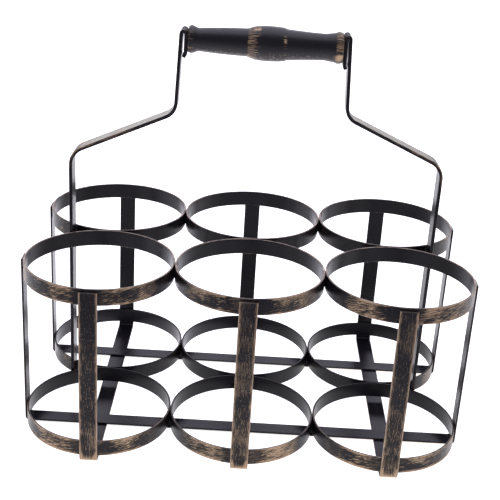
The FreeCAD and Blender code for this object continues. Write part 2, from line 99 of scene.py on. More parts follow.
def mark_section(piece, centre, thickness, width, outward, width_axis):
    """Stores on each point of the strip's end which face it is on and how far round the strip it is."""
    for value in STRIP_VALUES:
        piece.data.attributes.new(value, "FLOAT", "POINT")
    gilding, speckle, edge, rim, _, around = (piece.data.attributes[value].data for value in STRIP_VALUES)
    for i, point in enumerate(piece.data.vertices):
        place = point.co - centre
        across = place[width_axis]
        depth = thickness / 2 - outward * place.x
        on_inner_face = depth > thickness - HAIR
        round_the_rim = width + thickness - abs(across) if on_inner_face else abs(across) + depth
        on_outer_face = float(depth < thickness / 4)
        gilding[i].value = on_outer_face
        speckle[i].value = on_outer_face
        edge[i].value = on_outer_face * max(0, 1 - (width / 2 - abs(across)) / EDGE_BAND)
        rim[i].value = float(abs(across) > width / 2 - EDGE_ROUND / 2 - HAIR)
        around[i].value = math.copysign(round_the_rim, across)


print(f"each point of a strip stores {', '.join(STRIP_VALUES)}")

# %% Draw the end of a strip
ROUND_STEPS = 3
FACE_CUTS = 7
BAND_THICKNESS = 1.2 * MM


def take(piece):
    """Selects one piece alone and makes it the active one."""
    bpy.ops.object.select_all(action="DESELECT")
    piece.select_set(True)
    bpy.context.view_layer.objects.active = piece


def edit_all(piece):
    """Opens one piece alone in edit mode, with all of it selected."""
    take(piece)
    bpy.ops.object.mode_set(mode="EDIT")
    bpy.ops.mesh.select_all(action="SELECT")


def start_strip(name, centre, thickness, width, outward, standing):
    """The flat end of a strip, with its thickness along X and its width along Y, or along Z if it stands.

    The outer face looks along +X where outward is 1, and along -X where it is -1.
    """
    bpy.ops.object.select_all(action="DESELECT")
    turn = math.pi / 2 if standing else 0
    bpy.ops.mesh.primitive_plane_add(size=1, location=centre, rotation=(turn, 0, 0))
    piece = bpy.context.object
    piece.name = name
    piece.scale = (thickness, width, 1)
    bpy.ops.object.transform_apply(location=True, rotation=True, scale=True)
    edit_all(piece)
    bpy.ops.mesh.bevel(offset=EDGE_ROUND, segments=ROUND_STEPS, affect="VERTICES")
    bpy.ops.mesh.select_all(action="DESELECT")
    drawn = bmesh.from_edit_mesh(piece.data)
    for edge in drawn.edges:
        edge.select_set(edge.calc_length() > width / 2)
    bmesh.update_edit_mesh(piece.data)
    bpy.ops.mesh.subdivide(number_cuts=FACE_CUTS)
    bpy.ops.object.mode_set(mode="OBJECT")
    mark_section(piece, Vector(centre), thickness, width, outward, 2 if standing else 1)
    return piece


ring_low, ring_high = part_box("top_ring_front_middle")
band_height = ring_high.z - ring_low.z
sample = start_strip("sample_end", (0, 0, 0), BAND_THICKNESS, band_height, 1, True)
print(f"the end of a ring's strip has {len(sample.data.vertices)} points")
bpy.data.objects.remove(sample)

# %% [markdown]
# ## Forming the strip
# A smith forms strip by straight runs and bends. A run is one extrude, and a bend is one spin about the
# bend's centre. Spin keeps the strip's thickness even round a tight bend. Each move also notes how far
# along the strip it has come, so that brush strokes can follow the metal round its bends.

# %% Run and bend
BEND_STEP = math.radians(7.5)
# The short run at each end of a strip, which keeps the wear of the cut end from fading along the strip.
END_STRIP = 0.6 * MM
# How worn the rim of a cut end is, against the rims along the strip's sides.
END_RIM = 0.5


class Former:
    """Takes a strip's end from place to place, and notes the distance at each row of points."""

    def __init__(self, piece, place, heading):
        self.piece = piece
        self.place = Vector(place)
        self.heading = heading
        self.row_points = len(piece.data.vertices)
        self.distances = [0.0]
        edit_all(piece)

    def forward(self):
        """The way the strip is going, in the XZ plane."""
        return Vector((math.cos(self.heading), 0, math.sin(self.heading)))

    def leftward(self):
        """The way to the strip's left, in the XZ plane."""
        return Vector((-math.sin(self.heading), 0, math.cos(self.heading)))

    def run(self, length):
        """Pushes the strip straight on."""
        step = self.forward() * length
        bpy.ops.mesh.extrude_region_move(TRANSFORM_OT_translate={"value": step})
        self.place += step
        self.distances.append(self.distances[-1] + length)

    def bend(self, radius, turn):
        """Bends the strip about a centre beside it: to the left where the turn is above zero."""
        side = math.copysign(1, turn)
        centre = self.place + self.leftward() * side * radius
        steps = math.ceil(abs(turn) / BEND_STEP)
        bpy.ops.mesh.spin(steps=steps, angle=turn, center=centre, axis=(0, 1, 0))
        self.heading += turn
        self.place = centre - self.leftward() * side * radius
        start = self.distances[-1]
        self.distances += [start + radius * abs(turn) * (i + 1) / steps for i in range(steps)]

    def finish(self):
        """Leaves edit mode with every face pointing outwards, and stores the distances along the strip."""
        bpy.ops.mesh.select_all(action="SELECT")
        bpy.ops.mesh.normals_make_consistent(inside=False)
        bpy.ops.object.mode_set(mode="OBJECT")
        along, rim = (self.piece.data.attributes[value].data for value in ("along", "rim"))
        for i in range(len(self.piece.data.vertices)):
            row = i // self.row_points
            along[i].value = self.distances[row]
            if row in (0, len(self.distances) - 1):
                rim[i].value = END_RIM


print(f"a right-angle bend takes {math.ceil(math.pi / 2 / BEND_STEP)} steps")

# %% [markdown]
# ## Finishing a piece
# Rolled metal shows broad flat faces and soft edges. Smooth shading alone would round the flats, so the
# normals are weighted by the area of the faces: the flats stay flat and only the rims look round. What
# repeats is modelled once and copied, and each copy has a mesh of its own.

# %% Smooth and copy
SMOOTH_ANGLE = math.radians(40)


def smooth(piece):
    """Shades the bends and rims smooth and keeps the flats flat."""
    take(piece)
    bpy.ops.object.shade_smooth_by_angle(angle=SMOOTH_ANGLE)
    weighting = piece.modifiers.new("flat_faces", "WEIGHTED_NORMAL")
    weighting.keep_sharp = True
    bpy.ops.object.modifier_apply(modifier=weighting.name)


def copy_to(piece, name, move, turn, further):
    """A copy with its own mesh, turned about Z, moved, and its brush strokes shifted along the strip."""
    made = bpy.data.objects.new(name, piece.data.copy())
    bpy.context.collection.objects.link(made)
    made.data.transform(Matrix.Translation(move) @ Matrix.Rotation(turn, 4, "Z"))
    for value in made.data.attributes["along"].data:
        value.value += further
    return made


print(f"edges sharper than {math.degrees(SMOOTH_ANGLE):.0f} degrees stay crisp")

# %% Gild, hand over and measure
def gild(piece, shares_at):
    """Scales the four gold values of each point by the shares for its place."""
    laid = [piece.data.attributes[value].data for value in GOLD_VALUES]
    for i, point in enumerate(piece.data.vertices):
        for values, share in zip(laid, shares_at(point.co)):
            values[i].value *= share


def stand_for(piece, node, body):
    """Puts a piece in its body and hides the measured solid that it stands for."""
    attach(piece, body)
    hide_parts(node)


def open_edges(piece):
    """How many edges of a piece don't have a face on both sides."""
    drawn = bmesh.new()
    drawn.from_mesh(piece.data)
    count = sum(not edge.is_manifold for edge in drawn.edges)
    drawn.free()
    return count


print(f"the gold is scaled as {', '.join(GOLD_VALUES)}")

# %% [markdown]
# ## Rings
# Twelve rolled rings hold the bottles: six at the top and six at the bottom. A torus or a cylinder with a
# wall would give the shape, but not the strip's rounded rims. The standing end of a strip is spun all the
# way round the ring's axis, and the two ends are merged, as the smith welds them.
# The gold was brushed on from outside, after the welding. It is strongest between the upright and the
# neighbour ring, and the brush didn't reach close to the upright or into the notch. On the end rings it
# went on round the open side. Its strokes run a little aslant.

# %% Roll one ring
RING_STEPS = 96
STROKE_SLANT = math.radians(11)


def spin_round(piece, steps, centre, axis):
    """Spins a whole outline once round an axis, and joins the end to the start."""
    edit_all(piece)
    bpy.ops.mesh.spin(steps=steps, angle=2 * math.pi, center=centre, axis=axis)
    bpy.ops.mesh.select_all(action="SELECT")
    bpy.ops.mesh.remove_doubles(threshold=HAIR)
    bpy.ops.mesh.normals_make_consistent(inside=False)
    bpy.ops.object.mode_set(mode="OBJECT")


ring_radius = (ring_high.x - ring_low.x) / 2
band_middle = ring_radius - BAND_THICKNESS / 2
ring = start_strip("rolled_ring", (band_middle, 0, band_height / 2), BAND_THICKNESS, band_height, 1, True)
edit_all(ring)
bpy.ops.mesh.dissolve_faces()
bpy.ops.mesh.delete(type="ONLY_FACE")
bpy.ops.object.mode_set(mode="OBJECT")
spin_round(ring, RING_STEPS, (0, 0, 0), (0, 0, 1))
stroke_along, stroke_around = (ring.data.attributes[value].data for value in ("along", "around"))
for i, point in enumerate(ring.data.vertices):
    rolled = (math.atan2(point.co.y, point.co.x) % (2 * math.pi)) * ring_radius
    climbed = stroke_around[i].value
    stroke_along[i].value = rolled * math.cos(STROKE_SLANT) + climbed * math.sin(STROKE_SLANT)
    stroke_around[i].value = climbed * math.cos(STROKE_SLANT) - rolled * math.sin(STROKE_SLANT)
smooth(ring)
print(f"ring: {len(ring.data.polygons)} faces, {open_edges(ring)} open edges")

# %% Say where the gold lies on a ring
OUTWARD = {"front": -1, "back": 1}
OPEN_SIDE = {"left": -1, "middle": 0, "right": 1}
# Angle from the outermost point of a ring, in degrees, and the share of gold on its face there: on a side
# with a neighbour, and on the open side of an end ring.
NOTCH_GILDING = [(0, 0.15), (10, 0.2), (18, 0.85), (30, 1), (40, 0.8), (52, 0.25), (64, 0.05), (180, 0)]
OPEN_GILDING = [(0, 0.15), (8, 0.3), (14, 0.9), (50, 0.8), (90, 0.55), (150, 0.35), (170, 0), (180, 0)]
RING_SPECKS, LEAST_SPECKS = 0.5, 0.05
# Shares of gold on a ring's rims: at its outermost point, beside it, and at its innermost point.
RIM_GILDING = {"top front": (0.35, 1, 0.5), "top back": (0.15, 0.9, 0.3),
               "bottom front": (0.4, 0.1, 0), "bottom back": (0.03, 0.05, 0)}


def share_at(angle, marks):
    """The share at an angle, read between the marks on either side of it."""
    for (start, first), (end, last) in zip(marks, marks[1:]):
        if angle <= end:
            return first + (last - first) * (angle - start) / (end - start)


def ring_shares(place, centre, level, row, column):
    """The four shares of gold at a place on one ring."""
    outwardness = max(-1, min(1, OUTWARD[row] * (place.y - centre.y) / ring_radius))
    on_open_side = OPEN_SIDE[column] * (place.x - centre.x) > 0
    angle = math.degrees(math.acos(outwardness))
    face_share = share_at(angle, OPEN_GILDING if on_open_side else NOTCH_GILDING)
    outermost, beside, innermost = RIM_GILDING[f"{level} {row}"]
    rim_share = beside + abs(outwardness) * ((outermost if outwardness > 0 else innermost) - beside)
    return face_share, LEAST_SPECKS + RING_SPECKS * face_share, face_share, rim_share


most_gold = max(NOTCH_GILDING, key=lambda mark: mark[1])
print(f"beside a neighbour the gold is strongest {most_gold[0]} degrees round the ring")

# %% Set out the twelve rings
STROKE_SHIFT = 370 * MM
FACING = {"front": math.pi / 2, "back": -math.pi / 2}

iron_pieces = []
for level in ("top", "bottom"):
    for row, facing in FACING.items():
        for column in OPEN_SIDE:
            node = f"{level}_ring_{row}_{column}"
            low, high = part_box(node)
            base = Vector(((low.x + high.x) / 2, (low.y + high.y) / 2, low.z))
            made = copy_to(ring, f"painted_{node}", base, facing, len(iron_pieces) * STROKE_SHIFT)
            gild(made, lambda place: ring_shares(place, base, level, row, column))
            stand_for(made, node, "rack")
            iron_pieces.append(made)
bpy.data.objects.remove(ring)
print(f"{len(iron_pieces)} rings set out")

# %% [markdown]
# ## Straps
# Three straps run front to back under the rings and two run left to right over those. Each is one strip
# with a bend at each end and an upright that is welded to the rings. A box with two bends could be cut from
# a plane, but the strip has to keep its thickness, so it is formed: down, round, along, round and up.

# %% Say where the gold lies on a strap
# The four shares of gold at the foot of the first upright and of the last one. The bar between has none.
STRAP_GILDING = {"column_strap": ((0.35, 1, 0.9, 0.45), (0.35, 1, 0.8, 0.03)),
                 "row_strap": ((0.3, 0.6, 0.6, 0.02), (0.3, 0.6, 0.6, 0.02))}
NO_GOLD = (0, 0, 0, 0)
# How much of the strokes and specks the top of an upright lacks.
TOP_LACK = 0.65


def strap_shares(place, name, bar_reach, top):
    """The four shares of gold on a strap: none on its bar, and less towards the tops of its uprights."""
    if abs(place.x) < bar_reach:
        return NO_GOLD
    strokes, specks, edges, rims = STRAP_GILDING[name][place.x > 0]
    left = 1 - TOP_LACK * place.z / top
    return strokes * left, specks * left, edges, rims


print(f"the top of an upright has {1 - TOP_LACK:.0%} of the gold at its foot")

# %% Form one column strap and one row strap
STRAP_THICKNESS = 1.2 * MM
STRAP_BEND = {"column_strap": 3.0 * MM, "row_strap": 1.8 * MM}


def form_strap(name, node, crosswise):
    """A U-shaped strap along X with the sizes of a node's box, which lies along Y if it is crosswise."""
    low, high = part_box(node)
    half = high.y if crosswise else high.x
    width = (high.x - low.x) if crosswise else (high.y - low.y)
    radius = STRAP_BEND[name] + STRAP_THICKNESS / 2
    reach = half - STRAP_THICKNESS / 2
    start = (-reach, 0, high.z)
    piece = start_strip(name, start, STRAP_THICKNESS, width, -1, False)
    former = Former(piece, start, -math.pi / 2)
    upright = high.z - low.z - STRAP_THICKNESS / 2 - radius
    former.run(END_STRIP)
    former.run(upright - END_STRIP)
    former.bend(radius, math.pi / 2)
    former.run(2 * (reach - radius))
    former.bend(radius, math.pi / 2)
    former.run(upright - END_STRIP)
    former.run(END_STRIP)
    former.finish()
    gild(piece, lambda place: strap_shares(place, name, reach - radius, high.z))
    smooth(piece)
    print(f"{name}: {former.distances[-1] / MM:.0f} mm of strip, {open_edges(piece)} open edges")
    return piece


column_strap = form_strap("column_strap", "column_strap_middle", True)
row_strap = form_strap("row_strap", "row_strap_front", False)

# %% Set out the straps
for pattern, ends, turn in ((column_strap, ("left", "middle", "right"), math.pi / 2),
                            (row_strap, ("front", "back"), 0)):
    for end in ends:
        node = f"{pattern.name}_{end}"
        low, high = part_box(node)
        centre = Vector(((low.x + high.x) / 2, (low.y + high.y) / 2, 0))
        made = copy_to(pattern, f"painted_{node}", centre, turn, len(iron_pieces) * STROKE_SHIFT)
        stand_for(made, node, "rack")
        iron_pieces.append(made)
    bpy.data.objects.remove(pattern)
print(f"{len(iron_pieces)} iron pieces so far")

# %% [markdown]
# ## Bail
# The bail is two thicker strips. Each stands in the notch between the end rings, leans in along a shoulder,
# rises beside the grip and folds back down into an eye that bears on the grip's end. The two legs differ a
# little, as hand-bent work does. They could be bent by eye until they meet the grip. Here the corner of
# the shoulder and the upper leg is found by crossing two lines, so each eye lies where the grip needs it.

# %% Work out the runs of a leg
LEG_THICKNESS = 2.2 * MM
LOWER_BEND, UPPER_BEND = 12 * MM, 10 * MM
SHOULDER_HEADING, UPPER_HEADING = math.radians(180 - 24.4), math.radians(90 + 2.5)
LOWER_TURN, UPPER_TURN = SHOULDER_HEADING - math.pi / 2, UPPER_HEADING - SHOULDER_HEADING
TAIL_BEND, TAIL_TURN, TAIL_GAP = 2.7 * MM, math.radians(34), 0.2 * MM


def way(heading):
    """The direction of a heading, as a vector that is one long."""
    return Vector((math.cos(heading), math.sin(heading)))


def runs_between(lower_corner, eye_start):
    """The straight lengths of the shoulder and of the upper leg, from the lower corner to the eye."""
    gap = eye_start - lower_corner
    shoulder = gap.cross(way(UPPER_HEADING)) / way(SHOULDER_HEADING).cross(way(UPPER_HEADING))
    upper = (gap - shoulder * way(SHOULDER_HEADING)).length
    cut_lower = LOWER_BEND * math.tan(LOWER_TURN / 2)
    cut_upper = UPPER_BEND * math.tan(-UPPER_TURN / 2)
    return shoulder - cut_lower - cut_upper, upper - cut_upper


def tail_run(eye_opening):
    """The straight length of an eye's tail, which turns in and stops just short of the upper leg."""
    reach = eye_opening - LEG_THICKNESS / 2 * (1 + math.cos(TAIL_TURN)) - TAIL_GAP
    return reach / math.sin(TAIL_TURN) - TAIL_BEND * math.tan(TAIL_TURN / 2)


print(f"a leg turns {math.degrees(LOWER_TURN):.1f} degrees in and {-math.degrees(UPPER_TURN):.1f} back up")

# %% Form the two legs
LEG_LINE = 117.815 * MM
GRIP_HEIGHT = 246.25 * MM
# How far the lower bend lies below the grip, and the eye's inner face, bend radius, rise and drop, in mm.
LEGS = {"right": (78.55, 48.85, 1.25, 6.5, 9.3), "left": (83.05, 46.05, 1.5, 4.0, 7.4)}
LEG_TURN = {"right": 0, "left": math.pi}
# The four shares of gold on a leg, and on the stretch of it round the lower bend, between two heights.
LEG_GILDING, BEND_GILDING = (0.05, 0.1, 0.05, 0), (0.6, 0.3, 0.7, 0)
GILT_FROM, GILT_TO = 160 * MM, 184 * MM
# The run below the lower bend over which that gold fades out.
FADE_RUN = 8 * MM


def form_leg(end):
    """One leg of the bail, formed on the right and turned about Z for the left."""
    drop, eye_face, eye_radius, eye_rise, eye_drop = (size * MM for size in LEGS[end])
    node = f"handle_leg_{end}"
    low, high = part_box(node)
    start = Vector((LEG_LINE, 0, low.z))
    piece = start_strip(f"painted_{node}", start, LEG_THICKNESS, high.y - low.y, 1, False)
    former = Former(piece, start, math.pi / 2)
    straight_top = GRIP_HEIGHT - drop
    lean = UPPER_HEADING - math.pi / 2
    lower_corner = Vector((LEG_LINE, straight_top + LOWER_BEND * math.tan(LOWER_TURN / 2)))
    eye_middle = Vector((eye_face + LEG_THICKNESS / 2 + eye_radius, GRIP_HEIGHT + eye_rise))
    shoulder, upper = runs_between(lower_corner, eye_middle + eye_radius * way(lean))
    former.run(END_STRIP)
    former.run(straight_top - low.z - END_STRIP - FADE_RUN)
    former.run(FADE_RUN)
    former.bend(LOWER_BEND, LOWER_TURN)
    former.run(shoulder)
    former.bend(UPPER_BEND, UPPER_TURN)
    former.run(upper)
    former.bend(eye_radius, 3 * math.pi / 2 - UPPER_HEADING)
    former.run(eye_rise + eye_drop)
    former.bend(TAIL_BEND, TAIL_TURN)
    former.run(tail_run(2 * eye_radius + (eye_rise + eye_drop) * math.tan(lean)))
    former.finish()
    gild(piece, lambda place: BEND_GILDING if GILT_FROM < place.z < GILT_TO else LEG_GILDING)
    piece.data.transform(Matrix.Rotation(LEG_TURN[end], 4, "Z"))
    smooth(piece)
    print(f"{node}: {former.distances[-1] / MM:.0f} mm of strip, {open_edges(piece)} open edges")
    return piece


for end in LEGS:
    leg = form_leg(end)
    stand_for(leg, f"handle_leg_{end}", "rack")
    iron_pieces.append(leg)
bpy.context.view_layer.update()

# %% [markdown]
# ## Grip
# The grip is turned on a lathe: a bead at each end, two slim necks and a crowned barrel that sits a little
# off the middle. Stacked and scaled circles could give the shape. Here it is made as it is turned: half its
# outline is drawn by extruding one point, and the outline is spun about the rod's axis.

# %% Draw the outline of the grip
GRIP_SHIFT = 1.4 * MM
HALF_GRIP = 47.15
BORE_RADIUS = 2.55
ARC_STEPS = 10
# Place along the grip and radius of each corner, then how far the stretch to the next corner bulges, in mm.
GRIP_OUTLINE = [
    (-HALF_GRIP, BORE_RADIUS, 0), (-HALF_GRIP, 8.0, 0.5), (-43.55, 8.0, 0), (-41.25, 7.0, 0.3),
    (-11.5, 8.5, 0), (-6.5, 10.2, 0.5), (10.9, 10.2, 0), (13.1, 9.45, -0.18), (36.15, 8.1, 0),
    (42.35, 9.0, 0.7), (HALF_GRIP, 9.0, 0), (HALF_GRIP, BORE_RADIUS, 0)]


def outline_points():
    """The outline from the left bore to the right one, with its bulges and hollows as short steps."""
    points = []
    for (place, radius, bulge), (next_place, next_radius, _) in zip(GRIP_OUTLINE, GRIP_OUTLINE[1:]):
        steps = ARC_STEPS if bulge else 1
        for i in range(steps):
            part = i / steps
            swell = bulge * 4 * part * (1 - part)
            points.append((place + (next_place - place) * part,
                           radius + (next_radius - radius) * part + swell))
    return points + [GRIP_OUTLINE[-1][:2]]


outline = [Vector((GRIP_SHIFT + place * MM, 0, GRIP_HEIGHT + radius * MM))
           for place, radius in outline_points()]
bpy.ops.object.select_all(action="DESELECT")
bpy.ops.mesh.primitive_plane_add(size=MM, location=outline[0])
grip = bpy.context.object
grip.name = "turned_grip"
bpy.ops.object.transform_apply(location=True, rotation=True, scale=True)
edit_all(grip)
bpy.ops.mesh.merge(type="CENTER")
for here, there in zip(outline, outline[1:] + outline[:1]):
    bpy.ops.mesh.extrude_region_move(TRANSFORM_OT_translate={"value": there - here})
bpy.ops.mesh.select_all(action="SELECT")
bpy.ops.mesh.remove_doubles(threshold=HAIR)
bpy.ops.object.mode_set(mode="OBJECT")
print(f"grip outline: {len(grip.data.vertices)} points, {len(grip.data.edges)} edges")

# %% Turn the grip
TURN_STEPS = 96
CORNER_ROUND, CORNER_STEPS, CORNER_TURN = 0.25 * MM, 3, math.radians(14)

spin_round(grip, TURN_STEPS, (0, 0, GRIP_HEIGHT), (1, 0, 0))
rounding = grip.modifiers.new("rounded_corners", "BEVEL")
rounding.width = CORNER_ROUND
rounding.segments = CORNER_STEPS
rounding.angle_limit = CORNER_TURN
take(grip)
bpy.ops.object.modifier_apply(modifier=rounding.name)
smooth(grip)
stand_for(grip, "grip", "grip")
print(f"grip: {len(grip.data.polygons)} faces, {open_edges(grip)} open edges")

# %% [markdown]
# ## Building a material
# Each finish is a small tree of nodes on one Principled shader. Colours are picked as sRGB hex values, as
# they look on a screen, and turned to the linear values that light adds up in. One function adds any node.

# %% Colours and nodes
# The Mix node's sockets for colours, by number, because those for numbers have the same names.
MIX_A, MIX_B, MIX_RESULT = 6, 7, 2


def linear(colour):
    """Turns an sRGB hex colour into the linear values that shaders use, by the standard's own curve."""
    channels = [int(colour[i:i + 2], 16) / 255 for i in (1, 3, 5)]
    return tuple(c / 12.92 if c <= 0.04045 else ((c + 0.055) / 1.055) ** 2.4 for c in channels) + (1.0,)


def add_node(tree, kind, inputs=None, **settings):
    """Adds a node, with its settings, and sets or links its inputs."""
    made = tree.nodes.new(kind)
    for name, value in settings.items():
        setattr(made, name, value)
    for socket, value in (inputs or {}).items():
        if isinstance(value, bpy.types.NodeSocket):
            tree.links.new(value, made.inputs[socket])
        else:
            made.inputs[socket].default_value = value
    return made


def new_finish(name):
    """A new material; returns it with its tree and its shader."""
    finish = bpy.data.materials.new(name)
    finish.use_nodes = True
    return finish, finish.node_tree, finish.node_tree.nodes["Principled BSDF"]


def wear(pieces, finish):
    """Gives pieces one finish and nothing else."""
    for piece in pieces:
        piece.data.materials.clear()
        piece.data.materials.append(finish)


print(f"mid grey #808080 is {linear('#808080')[0]:.3f} in linear light")

# %% [markdown]
# ## Antique black iron
# The iron has a satin black paint. Gold paint was dry-brushed over the faces that show from outside and
# rubbed back. It lies as a brown haze in patches, as broken strokes along the strip, as fine pale specks,
# as tan bands along the edges of the uprights and as a pale line on the rims. An image could hold this, but
# it would not follow the strip. The values stored on the strip do: they say how much gold a place takes,
# and noise stretched along the strip draws the bristles.

# %% Read the strip's values and draw the brush
# Real bristles are finer than these strokes, which are drawn as coarse as they need to show.
PATCH_SIZE, STROKE_LENGTH, STROKE_WIDTH = 15 * MM, 6.5 * MM, 0.6 * MM
FLECK_LENGTH, FLECK_WIDTH = 1.8 * MM, 0.5 * MM

# Brushed and rubbed paint: satin black with a cold tint, broken gold strokes, pale worn rims.
iron_paint, tree, shader = new_finish("antique_black_painted_iron")
place = add_node(tree, "ShaderNodeTexCoord").outputs["Object"]
gilding, speckle, edge, rim, along, around = (
    add_node(tree, "ShaderNodeAttribute", attribute_name=value).outputs["Fac"] for value in STRIP_VALUES)
strip_place = add_node(tree, "ShaderNodeCombineXYZ", {"X": along, "Y": around}).outputs["Vector"]
brushed_place = add_node(tree, "ShaderNodeMapping", {
    "Vector": strip_place, "Scale": (1 / STROKE_LENGTH, 1 / STROKE_WIDTH, 1)}).outputs["Vector"]
stroke = add_node(tree, "ShaderNodeTexNoise", {
    "Vector": brushed_place, "Scale": 1, "Detail": 3, "Roughness": 0.6}).outputs["Fac"]
patch = add_node(tree, "ShaderNodeTexNoise", {
    "Vector": place, "Scale": 1 / PATCH_SIZE, "Detail": 2, "Roughness": 0.5}).outputs["Fac"]
flecked_place = add_node(tree, "ShaderNodeMapping", {
    "Vector": strip_place, "Scale": (1 / FLECK_LENGTH, 1 / FLECK_WIDTH, 1)}).outputs["Vector"]
fleck = add_node(tree, "ShaderNodeTexNoise", {
    "Vector": flecked_place, "Scale": 1, "Detail": 2, "Roughness": 0.6}).outputs["Fac"]
print(f"strokes {STROKE_LENGTH / MM:.1f} mm long, flecks {FLECK_LENGTH / MM:.1f} mm long")

# %% Press the brush on edges and pale the feet with scuffs and a painted reflection
# How much an edge adds to the brush's pressure, and how much the pressure adds to a stroke.
EDGE_PRESS, STROKE_PRESS = 0.12, 0.7
# How high the uprights' feet turn paler, and how much on the ground: scuffs and a painted floor reflection.
FOOT_HEIGHT, FOOT_SCUFF_AND_REFLECTION = 9 * MM, 1.2

height = add_node(tree, "ShaderNodeSeparateXYZ", {"Vector": place}).outputs["Z"]
# The feet are painted paler towards the ground: they are scuffed, and carry a painted reflection of the
# floor.
foot = add_node(tree, "ShaderNodeMapRange", {
    "Value": height, "From Min": FOOT_HEIGHT, "From Max": 0, "To Max": FOOT_SCUFF_AND_REFLECTION}).outputs[0]
pressed = add_node(tree, "ShaderNodeMath", {
    0: edge, 1: EDGE_PRESS, 2: patch}, operation="MULTIPLY_ADD").outputs[0]
bristle = add_node(tree, "ShaderNodeMath", {
    0: pressed, 1: STROKE_PRESS, 2: stroke}, operation="MULTIPLY_ADD").outputs[0]
scuffed_and_reflecting = add_node(tree, "ShaderNodeMath", {
    0: foot, 1: speckle, 2: edge}, operation="MULTIPLY_ADD").outputs[0]
scuff_and_reflection = add_node(tree, "ShaderNodeMath", {0: scuffed_and_reflecting, 1: stroke}, operation="ADD").outputs[0]
print(f"the lowest {FOOT_HEIGHT / MM:.0f} mm are scuffed")

# %% Say where haze, strokes, specks, worn edges and worn rims lie
# Where each mark starts to show in its noise, where it shows in full, and how much it then covers.
MARKS = ((pressed, 0.36, 0.66, 0.6), (bristle, 0.86, 1.0, 1), (fleck, 0.6, 0.73, 0.85),
         (scuff_and_reflection, 0.92, 1.5, 0.75))

hazy, streaky, spotted, edge_wear_and_foot_reflection = (
    add_node(tree, "ShaderNodeMapRange", {
        "Value": noise, "From Min": start, "From Max": full, "To Max": cover},
        interpolation_type="SMOOTHSTEP").outputs[0]
    for noise, start, full, cover in MARKS)
rubbed = add_node(tree, "ShaderNodeMapRange", {
    "Value": bristle, "From Min": 0.7, "From Max": 1.0, "To Min": 0.15}).outputs[0]
haze, gilt, specks, rim_wear = (
    add_node(tree, "ShaderNodeMath", {0: drawn, 1: share}, operation="MULTIPLY").outputs[0]
    for drawn, share in ((hazy, gilding), (streaky, gilding), (spotted, speckle), (rubbed, rim)))
grit = add_node(tree, "ShaderNodeMapRange", {
    "Value": fleck, "From Min": 0.35, "From Max": 0.65}).outputs[0]
print(f"{len(tree.nodes)} nodes before the colours")

# %% Lay the paints over each other
RIDGE_HEIGHT, STROKE_RELIEF = 0.12 * MM, 0.5

paint = add_node(tree, "ShaderNodeMix", {
    "Factor": patch, MIX_A: linear("#0f0e12"), MIX_B: linear("#1b191f")},
    data_type="RGBA").outputs[MIX_RESULT]
gold = add_node(tree, "ShaderNodeMix", {
    "Factor": grit, MIX_A: linear("#705a42"), MIX_B: linear("#dcbf9c")},
    data_type="RGBA").outputs[MIX_RESULT]
for share, colour in ((haze, linear("#46392c")), (gilt, gold), (specks, linear("#b8a48c")),
                      (edge_wear_and_foot_reflection, linear("#c4a686")), (rim_wear, linear("#d6c3b0"))):
    paint = add_node(tree, "ShaderNodeMix", {
        "Factor": share, MIX_A: paint, MIX_B: colour}, data_type="RGBA").outputs[MIX_RESULT]
dullness = add_node(tree, "ShaderNodeMapRange", {
    "Value": gilt, "To Min": 0.28, "To Max": 0.5}).outputs[0]
grain = add_node(tree, "ShaderNodeMath", {
    0: stroke, 1: STROKE_RELIEF, 2: fleck}, operation="MULTIPLY_ADD").outputs[0]
ridges = add_node(tree, "ShaderNodeBump", {
    "Height": grain, "Strength": 0.25, "Distance": RIDGE_HEIGHT}).outputs["Normal"]
for socket, value in (("Base Color", paint), ("Roughness", dullness), ("Normal", ridges)):
    tree.links.new(value, shader.inputs[socket])
shader.inputs["Specular IOR Level"].default_value = 0.18
wear(iron_pieces, iron_paint)
print(f"{iron_paint.name}: {len(tree.nodes)} nodes on {len(iron_pieces)} pieces")

# %% [markdown]
# ## Welds
# The welds sit under the same paint. They are small lumps of metal that was molten, so they are rougher
# than the strip, with fine ripples. They could be modelled again, but their solids have the right shape
# already and only need the finish.

# %% Paint the welds
RIPPLE_SIZE, RIPPLE_HEIGHT = 0.8 * MM, 0.2 * MM
WELD_NODES = ("top_ring_welds", "bottom_ring_welds", "column_strap_welds", "row_strap_welds", "leg_welds")

# Painted weld metal: the same black, duller and lumpy.
weld_paint, tree, shader = new_finish("black_paint_over_weld")
place = add_node(tree, "ShaderNodeTexCoord").outputs["Object"]
ripple = add_node(tree, "ShaderNodeTexNoise", {
    "Vector": place, "Scale": 1 / RIPPLE_SIZE, "Detail": 2}).outputs["Fac"]
black = add_node(tree, "ShaderNodeMix", {
    "Factor": ripple, MIX_A: linear("#121215"), MIX_B: linear("#2c2a2d")},
    data_type="RGBA").outputs[MIX_RESULT]
lumps = add_node(tree, "ShaderNodeBump", {
    "Height": ripple, "Strength": 0.5, "Distance": RIPPLE_HEIGHT}).outputs["Normal"]
for socket, value in (("Base Color", black), ("Normal", lumps)):
    tree.links.new(value, shader.inputs[socket])
shader.inputs["Roughness"].default_value = 0.5
shader.inputs["Specular IOR Level"].default_value = 0.3
wear([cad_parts[node] for node in WELD_NODES], weld_paint)
print(f"{weld_paint.name} on {len(WELD_NODES)} groups of welds")

# %% [markdown]
# ## Rod
# The rod is drawn steel, pulled through a die, which leaves fine lines along it. Little of it shows: its
# ends lie flush inside the eyes. A plain grey would pass from afar, but up close the lines are missed, so
# noise that is squeezed across the rod and stretched along it draws them.

# %% Finish the steel rod
DRAWN_LINE, DRAWN_LENGTH = 0.3 * MM, 12 * MM

